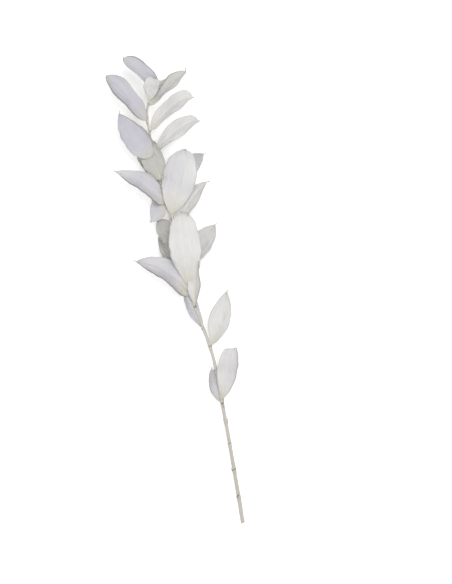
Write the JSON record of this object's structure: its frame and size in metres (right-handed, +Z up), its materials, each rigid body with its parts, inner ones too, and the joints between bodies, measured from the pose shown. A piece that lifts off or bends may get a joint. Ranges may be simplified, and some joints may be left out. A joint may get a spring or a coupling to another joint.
{
  "type": "dried ruscus stem",
  "caption": "Bleached, dried leafy stem, lying on its side, for vases, wreaths and dried flower displays.",
  "frame": {"origin": "on the surface that the stem lies on, under the middle of its bounding box", "axes": "+Y from the cut end to the tip, +Z up from the surface, +X to the right seen from above"},
  "size_m": [0.1275, 0.64, 0.0494],
  "materials": {
    "bleached_leaf": "matt, bleached and dry"
  },
  "bodies": {
    "root": {"leafy_stem": "bleached_leaf"}
  },
  "joints": []
}
